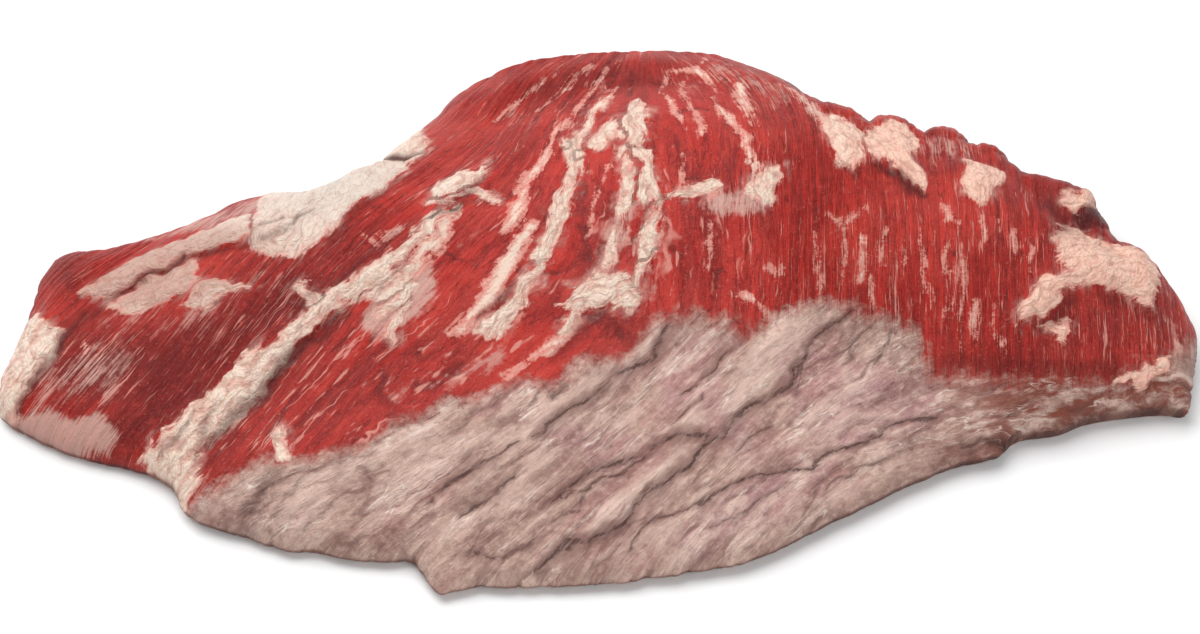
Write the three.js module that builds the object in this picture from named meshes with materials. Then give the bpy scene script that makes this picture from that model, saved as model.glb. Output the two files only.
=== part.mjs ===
// A raw beef sirloin flap lying on its flat underside, silverskin apron towards the front.
// Millimetres, +Z up, +X along the flap. The origin is under the middle of its outline.

import * as THREE from 'three';

// ---- How finely the solid is faceted ----
const COLUMNS = 100;         // cells from the left end to the right end
const ROWS = 47;             // cells from the near edge to the far edge
const CROWDING = 0.55;       // 0 spaces the grid evenly, 1 crowds it to the rims
const ROLL_CELLS = 3;        // cells over which the underside rolls up to the rim
const SPINE_INSET = 6;       // cells from the ends to the spine of the flat underside
const CURVE_STEPS = 12;      // samples between two outline points

// ---- Thickness ----
const THIN_MEAT = 9;         // where no muscle swells
const LEAST_RISE = 0.4;      // the top stays this much above the rim
const RELIEF_FADE = 5;       // relief dies out this close to the outline

// ---- The outline ----
// Each stretch runs on from the one before. rim is the height of its widest line above the
// table and reach is how far in the top's rounding goes, each at the stretch's two ends.
const LEFT_SIDE = [
  { name: 'left end', rim: [3, 9], reach: [9, 13],
    points: [[-179, -38], [-180, -31], [-179, -24], [-176.5, -16], [-174, -8], [-172, 0],
      [-170.5, 8], [-167, 15.5]] },
];
const FAR_SIDE = [
  { name: 'left shoulder', rim: [9, 8], reach: [13, 14],
    points: [[-167, 15.5], [-160, 18.8], [-153, 19.2], [-132, 26.3], [-122, 30.3], [-118, 32.5],
      [-114.5, 36.5], [-108, 38]] },
  { name: 'fat fringe', rim: [7, 6], reach: [15, 13],
    points: [[-100, 40], [-94, 37.5], [-88.5, 35], [-84.5, 38], [-81, 46], [-77, 47.5],
      [-72.5, 46], [-68.5, 51]] },
  { name: 'crown', rim: [8, 12], reach: [13, 15],
    points: [[-60, 62.6], [-52, 70.5], [-46, 79], [-29, 90.3], [-14, 94], [8, 95.3]] },
  { name: 'right shoulder', rim: [12, 9], reach: [15, 11],
    points: [[32, 94.9], [44, 91.8], [58, 84.8], [66, 78], [73, 71.5], [80, 67]] },
  { name: 'lumpy edge', rim: [10, 10], reach: [11, 10],
    points: [[83.5, 63], [89.5, 66], [96, 61.8], [101.5, 57.8], [108, 60.8], [113, 58.5],
      [117, 53.2], [121, 50.6], [125, 50], [129, 43], [134, 37.8], [141, 39.8], [146.5, 38.8],
      [151.3, 35.5]] },
  { name: 'right corner', rim: [10, 10], reach: [10, 10],
    points: [[155, 26.5], [158.8, 18.8], [164.5, 16.2], [170.5, 11.5]] },
];
const RIGHT_SIDE = [
  { name: 'right end', rim: [10, 7], reach: [10, 9],
    points: [[170.5, 11.5], [175.5, 0], [179, -10], [179, -20], [177, -30], [175, -39]] },
];
const NEAR_SIDE = [
  { name: 'left foot', rim: [3, 3], reach: [9, 15],
    points: [[-179, -38], [-171, -43.9], [-155, -51.8], [-140, -56.2]] },
  { name: 'notch under the seam', rim: [4, 4], reach: [16, 16],
    points: [[-134, -58.4], [-128.5, -61], [-124.6, -64.5], [-121.5, -71.8], [-116, -76.2]] },
  { name: 'thin apron', rim: [3, 3], reach: [16, 15],
    points: [[-104, -79.8], [-91, -84.8], [-84, -84.2], [-77, -87], [-64, -88.6], [-54, -88]] },
  { name: 'nose', rim: [3, 3], reach: [13, 14],
    points: [[-51, -92.5], [-46, -99.2], [-38, -97.3]] },
  { name: 'apron', rim: [3, 5], reach: [16, 15],
    points: [[-24, -96.8], [0, -96.3], [15, -94], [29, -92.1], [43, -89], [57, -81.7], [71, -74]] },
  { name: 'side face', rim: [5, 7], reach: [14, 9],
    points: [[86, -65.4], [100, -58.4], [110, -54.6], [119, -53.2], [122, -47.3], [135, -45.5],
      [144, -41], [157, -38.2], [168, -37], [175, -39]] },
];

// ---- Broad swells of muscle: a line, how far they reach from it, and their height ----
const SWELLS = [
  { name: 'main muscle', reach: 46, height: 22,
    line: [[-75, -3], [-30, 20], [20, 34], [70, 32], [110, 20]] },
  { name: 'crown', reach: 36, height: 4, line: [[-5, 44], [45, 50]] },
  { name: 'right lobe', reach: 34, height: 9, line: [[110, 7], [150, -8]] },
  { name: 'left lobe', reach: 26, height: 8, line: [[-150, -16], [-115, 0], [-80, 20]] },
  { name: 'left knob', reach: 10, height: 4, line: [[-163, 2], [-158, 10]] },
  { name: 'near slope', reach: 28, height: 4, line: [[-90, -58], [-20, -63], [50, -53]] },
];

// ---- Pads of fat and lumps of meat that stand on the top: half width at the two ends ----
const PADS = [
  { name: 'long seam', half: [3, 7], height: 2.2,
    line: [[-37, 24], [-47, 16], [-60, 2], [-70, -8], [-84, -17], [-96, -28], [-110, -41],
      [-122, -51], [-130, -57]] },
  { name: 'leaf of fat', half: [5, 2.5], height: 2.2, line: [[-49, 24], [-42, 28], [-35, 35]] },
  { name: 'left pad', half: [6, 8], height: 2.2,
    line: [[-149, -1], [-138, 6], [-124, 10], [-108, 13], [-94, 9]] },
  { name: 'lower left pad', half: [4, 5], height: 1.6,
    line: [[-141, -7], [-128, -6], [-113, -8]] },
  { name: 'fringe pad', half: [9, 9], height: 2.2,
    line: [[-96, 10], [-90, 26], [-76, 36], [-62, 52]] },
  { name: 'left end strip', half: [6, 4], height: 1.8,
    line: [[-167, -12], [-171, -24], [-175, -36]] },
  { name: 'upper middle tuft', half: [5, 6], height: 2.2, line: [[3, 50], [11, 53]] },
  { name: 'strand under the tuft', half: [5, 4], height: 1.6, line: [[12, 36], [15, 24]] },
  { name: 'cream blob', half: [6, 6], height: 2.4, line: [[49, 31], [50, 25]] },
  { name: 'front tuft', half: [5, 5], height: 2, line: [[-8, -10], [8, -4]] },
  { name: 'streak tuft', half: [4, 5], height: 1.6, line: [[-20, -3], [-36, -19]] },
  { name: 'right strip', half: [9, 3], height: 3,
    line: [[162, 1], [150, -1], [140, -5], [131, -12], [123, -19]] },
  { name: 'right strip knot', half: [5, 5], height: 2.6, line: [[140, 6], [147, 3]] },
  { name: 'first drape', half: [6, 4], height: 2.2, line: [[72, 50], [77, 35]] },
  { name: 'second drape', half: [7, 3], height: 2.6, line: [[88, 50], [91, 37], [96, 22]] },
  { name: 'third drape', half: [6, 6], height: 2.6, line: [[111, 31], [114, 19]] },
  { name: 'first lump', half: [6, 6], height: 2.4, line: [[75, 60], [78, 55]] },
  { name: 'second lump', half: [6, 6], height: 2.6, line: [[90, 59], [94, 55]] },
  { name: 'third lump', half: [7, 7], height: 3.4, line: [[104, 50], [107, 44]] },
  { name: 'fourth lump', half: [5, 5], height: 2.4, line: [[117, 44], [119, 40]] },
  { name: 'fifth lump', half: [7, 6], height: 2, line: [[128, 37], [140, 32]] },
];

// ---- Long round folds: half width and height ----
const FOLDS = [
  { name: 'far lip', half: 8, height: 2, line: [[-40, 72], [-14, 84], [10, 88], [36, 86], [58, 74]] },
  { name: 'first apron fold', half: 6, height: 1.7,
    line: [[24, -15], [16, -28], [2, -38], [-16, -48], [-34, -60]] },
  { name: 'second apron fold', half: 6, height: 1.8,
    line: [[47, -22], [34, -34], [22, -49], [4, -58], [-14, -72]] },
  { name: 'third apron fold', half: 6.5, height: 2,
    line: [[62, -17], [50, -32], [38, -42], [28, -58], [12, -70], [-6, -84]] },
  { name: 'fourth apron fold', half: 6, height: 1.5, line: [[84, -30], [66, -46], [46, -60], [30, -72]] },
  { name: 'fifth apron fold', half: 6, height: 1.4, line: [[104, -42], [86, -50], [66, -62], [48, -76]] },
];

// ---- Creases cut into the top: half width and depth ----
const CREASES = [
  { name: 'under the far lip', half: 6, depth: 2.2, line: [[-34, 62], [-18, 74], [0, 79], [20, 78]] },
  { name: 'above the seam', half: 4, depth: 2, line: [[-54, 14], [-66, 2], [-80, -9], [-92, -18]] },
  { name: 'below the seam', half: 4, depth: 2.4,
    line: [[-74, -20], [-88, -32], [-102, -43], [-114, -54]] },
  { name: 'in the left pad', half: 3, depth: 1.6,
    line: [[-146, -6], [-136, 0], [-124, 5], [-108, 6]] },
  { name: 'beside the left strip', half: 3.5, depth: 2,
    line: [[-153, -5], [-160, -18], [-167, -30], [-173, -40]] },
  { name: 'in front of the drapes', half: 4, depth: 1.6, line: [[80, 32], [87, 27], [94, 18]] },
  { name: 'behind the right strip', half: 4, depth: 2, line: [[137, 18], [146, 14], [152, 8]] },
];

// ---- The silverskin's upper boundary, left to right, which fibre ridges stop at ----
const SILVERSKIN_TOP = [[-180, -90], [-112, -66], [-92, -57], [-72, -58], [-50, -46], [-30, -35],
  [-4, -26], [12, -18], [24, -11], [44, -16], [60, -9], [74, -11], [92, -20], [100, -31],
  [150, -32], [180, -18]];

// ---- Meat fibres: they fan out from the crown, lean left on the left and run straight on the right ----
const FIBRE_LEAN = 0.85;     // sideways travel for each millimetre up, on the left
const FIBRE_TURN = 60;       // width over which the lean sets in
const STRAIGHT_X = 25;       // fibres run straight to the right of this x, where y is 0
const STRAIGHT_SLANT = 0.5;  // and that boundary moves left by this for each millimetre up
const FAN_X = 14;
const FAN_Y = 110;
const FAN_WIDTH = 38;
const FAN_START_Y = 35;      // the fan sets in from here upwards
const FAN_BLEND = 30;
const FAN_LEAST_RADIUS = 20;
const FIBRE_END_Y = 100;     // fibres are told apart by where they would cross this line
const FIBRE_STEPS = 24;
const RIDGE_SPACING = 15;
const RIDGE_HEIGHT = 0.55;
const RIDGE_FADE = 8;        // ridges die out this close to the silverskin
const PAD_STEEPNESS = 1.6;   // above 1, a pad's flat top is wider and its sides are steeper

const clamp01 = (t) => Math.min(Math.max(t, 0), 1);
const ease = (t) => clamp01(t) ** 2 * (3 - 2 * clamp01(t));
const mix = (a, b, t) => a + (b - a) * t;
const bell = (t) => Math.exp(-t * t);

// Control points [x, y, rim, reach] of a side's stretches.
function controlPoints(stretches) {
  return stretches.flatMap(({ rim, reach, points }) => points.map(([x, y], i) => {
    const t = i / (points.length - 1);
    return [x, y, mix(rim[0], rim[1], t), mix(reach[0], reach[1], t)];
  }));
}

// A Catmull-Rom curve through the control points, finely sampled.
function smoothCurve(controls) {
  const last = controls.length - 1;
  const extend = (a, b) => a.map((value, k) => 2 * value - b[k]);
  const at = [extend(controls[0], controls[1]), ...controls, extend(controls[last], controls[last - 1])];
  const curve = [];
  for (let i = 1; i <= last; i += 1) {
    for (let step = 0; step < CURVE_STEPS; step += 1) {
      const t = step / CURVE_STEPS;
      curve.push(controls[0].map((_, k) => {
        const [a, b, c, d] = [at[i - 1][k], at[i][k], at[i + 1][k], at[i + 2][k]];
        return 0.5 * (2 * b + (c - a) * t + (2 * a - 5 * b + 4 * c - d) * t ** 2
          + (3 * b - a - 3 * c + d) * t ** 3);
      }));
    }
  }
  curve.push(controls[last]);
  return curve;
}

// Points of a curve at the given fractions of its length.
function atFractions(curve, fractions) {
  const travelled = [0];
  for (let i = 1; i < curve.length; i += 1) {
    const step = Math.hypot(curve[i][0] - curve[i - 1][0], curve[i][1] - curve[i - 1][1]);
    travelled.push(travelled[i - 1] + step);
  }
  const length = travelled[travelled.length - 1];
  let i = 1;
  return fractions.map((fraction) => {
    while (i < curve.length - 1 && travelled[i] < fraction * length) i += 1;
    const t = (fraction * length - travelled[i - 1]) / (travelled[i] - travelled[i - 1]);
    return curve[i].map((value, k) => mix(curve[i - 1][k], value, t));
  });
}

// Grid fractions from 0 to 1, closer together towards both ends.
function gridFractions(cells) {
  return Array.from({ length: cells + 1 }, (_, i) => {
    const t = i / cells;
    return mix(t, (1 - Math.cos(Math.PI * t)) / 2, CROWDING);
  });
}

// The closest point of a polyline: how far it is, and how far along the line it lies.
function closestOn(line, x, y) {
  let best = { distance: Infinity, index: 0, t: 0 };
  for (let i = 0; i < line.length - 1; i += 1) {
    const [ax, ay] = line[i];
    const [dx, dy] = [line[i + 1][0] - ax, line[i + 1][1] - ay];
    const t = clamp01(((x - ax) * dx + (y - ay) * dy) / (dx * dx + dy * dy || 1));
    const distance = Math.hypot(x - ax - t * dx, y - ay - t * dy);
    if (distance < best.distance) best = { distance, index: i, t };
  }
  return { ...best, along: (best.index + best.t) / (line.length - 1) };
}

// Height of a polyline [x, y] read off at x.
function heightOf(line, x) {
  const i = Math.max(1, line.findIndex((point) => point[0] >= x));
  const [[ax, ay], [bx, by]] = [line[i - 1], line[i]];
  return mix(ay, by, clamp01((x - ax) / (bx - ax)));
}

// Sideways travel of the meat's fibres for each millimetre up.
function fibreLean(x, y) {
  const straightFrom = STRAIGHT_X - STRAIGHT_SLANT * y;
  const leaning = FIBRE_LEAN * ease((straightFrom - x) / FIBRE_TURN);
  const fanned = (FAN_X - x) / Math.max(FAN_Y - y, FAN_LEAST_RADIUS);
  const inFan = ease((y - FAN_START_Y) / FAN_BLEND) * bell((x - FAN_X) / FAN_WIDTH);
  return mix(leaning, fanned, inFan);
}

// Which fibre passes through a point: the x at which it would cross FIBRE_END_Y.
function fibreAt(x, y) {
  const step = (FIBRE_END_Y - y) / FIBRE_STEPS;
  let at = x;
  for (let i = 0; i < FIBRE_STEPS; i += 1) at += step * fibreLean(at, y + i * step);
  return at;
}

function padHeight(x, y) {
  return Math.max(0, ...PADS.map(({ line, half, height }) => {
    const { distance, along } = closestOn(line, x, y);
    return height * ease(PAD_STEEPNESS * (1 - distance / mix(half[0], half[1], along)));
  }));
}

function relief(x, y) {
  let height = padHeight(x, y);
  for (const fold of FOLDS) {
    height += fold.height * bell(closestOn(fold.line, x, y).distance / fold.half);
  }
  for (const crease of CREASES) {
    height -= crease.depth * bell(closestOn(crease.line, x, y).distance / crease.half);
  }
  const aboveSilverskin = ease((y - heightOf(SILVERSKIN_TOP, x)) / RIDGE_FADE);
  const ridge = Math.cos((2 * Math.PI * fibreAt(x, y)) / RIDGE_SPACING);
  return height + RIDGE_HEIGHT * ridge * aboveSilverskin;
}

function swollenThickness(x, y) {
  const swell = ({ line, reach, height }) => height * bell(closestOn(line, x, y).distance / reach);
  return SWELLS.reduce((sum, each) => sum + swell(each), THIN_MEAT);
}

// Quarter-ellipse rounding: 0 at the outline, 1 from its reach inwards.
const rounding = (t) => Math.sqrt(1 - (1 - clamp01(t)) ** 2);

function topHeight(x, y, outline) {
  const { distance, index, t } = closestOn(outline, x, y);
  const rim = mix(outline[index][2], outline[index + 1][2], t);
  const reach = mix(outline[index][3], outline[index + 1][3], t);
  const full = swollenThickness(x, y) + relief(x, y) * ease(distance / RELIEF_FADE);
  return Math.max(mix(rim, full, rounding(distance / reach)), rim + LEAST_RISE);
}

// The outline's four sides meet at four corners, and a grid is stretched between them.
function stretchedGrid(near, far, left, right, across, up) {
  const [bottomLeft, bottomRight, topLeft, topRight] = [near[0], near.at(-1), far[0], far.at(-1)];
  return across.map((u, i) => up.map((v, j) => [0, 1, 2].map((k) => {
    const sides = mix(near[i][k], far[i][k], v) + mix(left[j][k], right[j][k], u);
    const corners = mix(mix(bottomLeft[k], bottomRight[k], u), mix(topLeft[k], topRight[k], u), v);
    return sides - corners;
  })));
}

function flapGeometry() {
  const curves = [NEAR_SIDE, FAR_SIDE, LEFT_SIDE, RIGHT_SIDE].map((side) => smoothCurve(controlPoints(side)));
  const [nearCurve, farCurve, leftCurve, rightCurve] = curves;
  rightCurve.reverse();
  const outline = [...nearCurve, ...rightCurve, ...[...farCurve].reverse(), ...[...leftCurve].reverse()];
  const across = gridFractions(COLUMNS);
  const up = gridFractions(ROWS);
  const [near, far] = [nearCurve, farCurve].map((curve) => atFractions(curve, across));
  const [left, right] = [leftCurve, rightCurve].map((curve) => atFractions(curve, up));
  const grid = stretchedGrid(near, far, left, right, across, up);

  const positions = [];
  const addVertex = (x, y, z) => positions.push(x, y, z) / 3 - 1;
  const insetOf = (i, j) => Math.min(i, COLUMNS - i, j, ROWS - j);
  const top = grid.map((column, i) => column.map(([x, y, rim], j) => (
    addVertex(x, y, insetOf(i, j) === 0 ? rim : topHeight(x, y, outline)))));
  const under = grid.map((column, i) => column.map(([x, y, rim], j) => {
    const inset = insetOf(i, j);
    if (inset === 0) return top[i][j];
    return inset > ROLL_CELLS ? -1 : addVertex(x, y, rim * (1 - rounding(inset / ROLL_CELLS)));
  }));

  // Every cell is split from the corner of the grid that is nearest to it, so that the top and
  // the underside share no split where they meet at the rim.
  const faces = [];
  const addCell = ([a, b, c, d], turned) => {
    if (turned) faces.push(b, c, d, b, d, a);
    else faces.push(a, b, c, a, c, d);
  };
  for (let i = 0; i < COLUMNS; i += 1) {
    for (let j = 0; j < ROWS; j += 1) {
      const turned = (i < COLUMNS / 2) !== (j < ROWS / 2);
      addCell([top[i][j], top[i + 1][j], top[i + 1][j + 1], top[i][j + 1]], turned);
      const rolled = [under[i][j], under[i][j + 1], under[i + 1][j + 1], under[i + 1][j]];
      if (!rolled.includes(-1) && Math.min(insetOf(i, j), insetOf(i + 1, j + 1)) < ROLL_CELLS) {
        addCell(rolled, turned);
      }
    }
  }
  flatUnderside(under).forEach(([a, b, c]) => faces.push(c, b, a));

  const geometry = new THREE.BufferGeometry();
  geometry.setAttribute('position', new THREE.Float32BufferAttribute(positions, 3));
  geometry.setIndex(faces);
  const box = new THREE.Box3().setFromBufferAttribute(geometry.getAttribute('position'));
  const centre = box.getCenter(new THREE.Vector3());
  geometry.translate(-centre.x, -centre.y, 0);
  geometry.computeVertexNormals();
  return geometry;

  // The flat face that the flap rests on: triangles between its loop and a spine along its middle.
  function flatUnderside(numbers) {
    const [first, lastColumn, lastRow] = [ROLL_CELLS, COLUMNS - ROLL_CELLS, ROWS - ROLL_CELLS];
    const middleRow = Math.round(ROWS / 2);
    const spine = new Map();
    for (let i = first + SPINE_INSET; i <= lastColumn - SPINE_INSET; i += 1) {
      spine.set(i, addVertex(grid[i][middleRow][0], grid[i][middleRow][1], 0));
    }
    const station = (i) => spine.get(Math.min(Math.max(i, first + SPINE_INSET), lastColumn - SPINE_INSET));
    const loop = [];
    for (let i = first; i < lastColumn; i += 1) loop.push([i, first]);
    for (let j = first; j < lastRow; j += 1) loop.push([lastColumn, j]);
    for (let i = lastColumn; i > first; i -= 1) loop.push([i, lastRow]);
    for (let j = lastRow; j > first; j -= 1) loop.push([first, j]);
    return loop.flatMap(([i, j], n) => {
      const [nextI, nextJ] = loop[(n + 1) % loop.length];
      const [a, b] = [numbers[i][j], numbers[nextI][nextJ]];
      const [spineA, spineB] = [station(i), station(nextI)];
      return spineA === spineB ? [[a, b, spineA]] : [[a, b, spineB], [a, spineB, spineA]];
    });
  }
}

const rawMeat = new THREE.MeshStandardMaterial({
  name: 'raw_beef', color: 0xa63d36, roughness: 0.42, metalness: 0,
});

const flap = new THREE.Group();
const meat = new THREE.Mesh(flapGeometry(), rawMeat);
meat.name = 'sirloin_flap';
flap.add(meat);

export default flap;
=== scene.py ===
"""The looks of a raw beef sirloin flap.

One fine mesh replaces the solid. It is stretched over the solid's own grid and roughened with
the meat's relief. Fields painted on it tell its material where fat, silverskin, pale films and
shadowed crevices lie, and which way the fibres and folds run.

Places are in millimetres, seen from above, in the frame that the outline was drawn in.
"""
import math

import bmesh
import bpy
import numpy as np
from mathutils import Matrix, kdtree


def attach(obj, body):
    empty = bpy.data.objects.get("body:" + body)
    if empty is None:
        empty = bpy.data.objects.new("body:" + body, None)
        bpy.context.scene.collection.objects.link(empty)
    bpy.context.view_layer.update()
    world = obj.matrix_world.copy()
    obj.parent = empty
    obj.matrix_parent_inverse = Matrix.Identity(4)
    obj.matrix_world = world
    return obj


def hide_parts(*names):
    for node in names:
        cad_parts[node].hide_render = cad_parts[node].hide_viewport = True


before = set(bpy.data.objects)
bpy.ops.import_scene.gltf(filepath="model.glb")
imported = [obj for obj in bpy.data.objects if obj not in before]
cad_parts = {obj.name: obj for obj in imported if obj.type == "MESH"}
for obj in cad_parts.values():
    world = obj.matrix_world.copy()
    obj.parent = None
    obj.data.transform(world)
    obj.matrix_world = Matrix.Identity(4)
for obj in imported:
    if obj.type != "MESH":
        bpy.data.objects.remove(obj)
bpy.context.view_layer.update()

# ---- The solid's grid, and the finer one stretched over it ----
CAD_COLUMNS = 100
CAD_ROWS = 47
CAD_CROWDING = 0.55          # how much the solid's grid crowds to its rims
CAD_ROLL = 3                 # cells over which its underside rolls up to the rim
LEFT_CORNER = (-178.7, -36)  # where its left end meets its near edge, in the part's frame
COLUMNS = 440
ROWS = 198
CROWDING = 0.25
ROLL_RINGS = 6
DRAWING_SHIFT = (0.325, 1.91)  # the part's frame is the drawing's, moved by this much
MM = 1000
WELD = 1e-6
NEAR_VERTEX = 0.1

# ---- Fat that stands on the meat: a field is how deep inside it a point lies ----
FAT_AREAS = {
    "fringe at the far left edge": [
        (-105, 5), (-98, -1), (-91, -2), (-84, 1), (-79, 8), (-75, 14), (-70, 20), (-65, 25),
        (-62, 30), (-58, 38), (-53, 48), (-54, 56), (-60, 70), (-75, 60), (-85, 52), (-100, 52),
        (-104, 30)],
    "long seam": [
        (-41, 19), (-47, 17), (-52, 12), (-57, 5), (-64, -2), (-72, -8), (-80, -12), (-86, -16),
        (-91, -20), (-96, -27), (-104, -29), (-110, -37), (-120, -42), (-127, -48), (-135, -56),
        (-130, -66), (-120, -72), (-117, -66), (-119, -59), (-116, -54), (-109, -50), (-102, -44),
        (-95, -36), (-89, -28), (-82, -22), (-76, -17), (-68, -13), (-62, -8), (-58, -2),
        (-52, 5), (-47, 11), (-42, 15)],
    "leaf over the seam": [
        (-52, 22), (-50, 27), (-44, 31), (-38, 34), (-34, 38), (-35, 33), (-38, 27), (-43, 23),
        (-49, 20)],
    "left pad": [
        (-155, -2), (-150, 4), (-144, 9), (-136, 12), (-124, 17), (-106, 20), (-104, 8), (-112, 8),
        (-121, 7), (-128, 6), (-136, 2), (-142, -2), (-148, -6), (-152, -5)],
    "lower left pad": [
        (-146, -8), (-142, -3), (-137, 1), (-130, 4), (-122, 4), (-119, -4), (-126, -8), (-131, -11),
        (-137, -13), (-142, -12)],
    "patch by the lower left pad": [
        (-125, -10), (-121, -6), (-114, -5), (-109, -7), (-102, -9), (-112, -12), (-117, -14),
        (-122, -13)],
    "left end strip": [
        (-171, -6), (-164, -13), (-160, -16), (-164, -24), (-170, -34), (-175, -42), (-184, -42),
        (-179, -26), (-176, -16)],
    "upper tuft": [(-3, 43), (0, 49), (3, 57), (5, 51), (7, 44), (3, 42), (0, 40), (-4, 40)],
    "tall tuft": [(12, 66), (9, 58), (7, 49), (8, 42), (13, 38), (14, 44), (15, 57)],
    "strand under the tuft": [
        (10, 40), (14, 38), (17, 34), (16, 28), (19, 22), (15, 20), (11, 21), (12, 28)],
    "cream blob": [(45, 34), (49, 30), (55, 33), (54, 27), (53, 21), (48, 19), (44, 24), (46, 29)],
    "front tuft": [
        (-9, -5), (-4, -5), (3, -1), (9, -1), (12, -7), (9, -13), (2, -10), (-4, -13), (-10, -18),
        (-13, -20), (-9, -13), (-13, -11), (-8, -8)],
    "streak tuft": [
        (-16, 4), (-19, 3), (-23, -3), (-28, -10), (-34, -16), (-37, -21), (-33, -24), (-27, -19),
        (-23, -12), (-18, -5)],
    "first drape": [
        (68, 56), (73, 55), (79, 49), (82, 48), (80, 40), (78, 31), (73, 32), (70, 42)],
    "second drape": [
        (83, 50), (89, 55), (96, 50), (97, 41), (95, 33), (99, 26), (97, 19), (93, 24), (88, 33),
        (82, 37), (80, 44)],
    "third drape": [
        (110, 34), (116, 33), (121, 30), (120, 22), (118, 17), (113, 14), (108, 17), (109, 26)],
    "right strip": [
        (136, 2), (137, 12), (142, 16), (147, 13), (154, 10), (162, 11), (168, 9), (169, 2),
        (167, -5), (164, -9), (157, -9), (153, -7), (144, -7), (137, -11), (136, -16),
        (129, -18), (125, -20), (122, -24), (124, -15), (128, -11), (133, -7), (139, -4)],
    "right end knot": [
        (153, -33), (158, -30), (163, -29), (169, -25), (168, -29), (165, -32), (160, -35)],
    "pale lump": [(140, 22), (142, 26), (147, 34), (152, 33), (150, 26), (145, 20)],
}
# Strokes: half widths from the first point to the last, then the points.
FAT_STROKES = {
    "second strip over the seam": ((0.9, 1.6, 1.5, 0.6), [(-51, 19), (-45, 21), (-37, 24), (-31, 20)]),
    "third strip over the seam": ((0.7, 1.4, 0.9), [(-56, 8), (-50, 13), (-43, 18)]),
    "wide streak under the crown": (
        (0.5, 1.2, 1.6, 1.8, 3.4, 3.2, 2.2, 2.8, 3, 1.6),
        [(2, 68), (-2, 58), (-5, 50), (-6, 44), (-9, 38), (-8, 32), (-9, 26), (-12, 18), (-14, 11),
         (-19, 2)]),
    "blob of the wide streak": ((2, 3, 1.5), [(-10, 43), (-8, 38), (-7, 31)]),
    "strand below the blob": ((1.4, 2.4, 1.8), [(17, 21), (16, 13), (13, 4)]),
    "band to the cream blob": ((0.8, 1.4, 2.2), [(19, 23), (27, 23), (34, 26)]),
    "seam tag": ((1.4, 2, 1.6), [(-89, -11), (-86, -15), (-80, -15)]),
    "flake by the right strip": ((1.2, 1.6, 1), [(132, -21), (137, -20), (136, -23)]),
    "tip on the apron": ((2, 1.8), [(-94, -54), (-92, -60)]),
    "tatter by the seam": ((1.6, 2.2, 1.2), [(-57, -5), (-62, -11), (-70, -15)]),
    "second tatter": ((1.4, 2, 1.5, 0.8), [(-56, -9), (-60, -13), (-65, -19), (-67, -20)]),
    "third tatter": ((1, 1.6, 0.8), [(-57, -13), (-60, -19), (-62, -25)]),
    "strand below the tall tuft": ((1.2, 1.6, 1.4, 0.7), [(7, 38), (9, 24), (4, 8), (0, -4)]),
    "second strand below it": ((0.7, 1.2, 0.8), [(14, 14), (15, 6), (11, -4)]),
}
# Marbling: thin pink fat flush with the meat.
MARBLING = {
    "left streak": (
        (0.5, 0.9, 1.2, 1, 1.2, 2, 2.4, 1.2),
        [(-1, 77), (-7, 62), (-11, 54), (-15, 47), (-16, 38), (-21, 28), (-25, 19), (-28, 10)]),
    "left streak's branch": (
        (1.8, 2.6, 2.8, 2, 1), [(-21, 13), (-26, 3), (-31, -6), (-37, -15), (-44, -22)]),
    "wide streak's head": ((0.5, 1.1, 1.2), [(5, 76), (2, 67), (-3, 57)]),
    "beside the wide streak": ((0.5, 0.8, 0.5), [(2, 32), (-1, 20), (-4, 10)]),
    "first fan streak": ((0.7, 0.9, 1.1, 0.5), [(21, 80), (19, 69), (22, 60), (25, 50)]),
    "second fan streak": ((0.7, 1.2, 1.1, 0.6), [(25, 77), (26, 66), (30, 54), (32, 44)]),
    "third fan streak": ((0.8, 1.4, 1.4, 1.6), [(35, 67), (39, 56), (44, 43), (48, 32)]),
    "fourth fan streak": ((2.4, 2, 1), [(44, 72), (45, 61), (47, 50)]),
    "star": ((0.8, 1.8, 1.2, 0.8), [(24, 82), (31, 82), (34, 78), (36, 72)]),
    "star's arm": ((0.6, 1.4), [(33, 90), (31, 82)]),
    "left crown streak": ((0.4, 0.9, 0.5), [(-2, 88), (-12, 76), (-20, 64)]),
    "second left crown streak": ((0.4, 0.8, 0.5), [(-12, 86), (-24, 72), (-33, 60)]),
    "third left crown streak": ((0.4, 0.8, 0.4), [(6, 90), (1, 82), (-4, 72)]),
    "pale strip right of the seam": ((2, 2.4, 2.6, 2), [(-44, 14), (-48, 6), (-53, -1), (-60, -9)]),
    "edge fat": ((1, 2, 2.4), [(57, 73), (65, 62), (70, 52)]),
    "front strands": ((1.4, 1.2, 0.8), [(-6, -14), (-14, -24), (-27, -33)]),
    "second front strand": ((1, 1, 0.5), [(-12, -20), (-20, -27), (-30, -33)]),
    "diagonal speck": ((0.8, 1.1, 0.6), [(42, -5), (46, -8), (51, -13)]),
    "curl": ((0.5, 0.8, 0.7, 0.5), [(70, 16), (73, 12), (76, 15), (80, 17)]),
    "short upright": ((0.8, 1.3, 0.8), [(33, 14), (33, 8), (32, 2)]),
    "upper short upright": ((0.7, 1.1), [(25, 36), (26, 24)]),
    "short slanting": ((0.6, 0.9), [(31, 31), (35, 23)]),
    "specks": ((1.2, 0.4, 1), [(51, 1), (53, 0), (55, 1)]),
    "loose flake": ((0.8, 0.9), [(-71, 6), (-68, 4)]),
    "second loose flake": ((0.5, 0.9), [(-65, 6), (-60, 9)]),
    "third loose flake": ((0.5, 0.8), [(-66, -4), (-62, 2)]),
    "far speck": ((1, 1.4), [(-154, -21), (-153, -23)]),
    "star at the right": ((0.8, 1.6, 0.7), [(103, 14), (104, 10), (107, 8)]),
    "right upright": ((0.8, 1.2, 0.8), [(78, 8), (78, 2), (78, -4)]),
    "right end wisp": ((1, 1.6, 1), [(172, -20), (173, -28), (174, -36)]),
}
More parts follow.
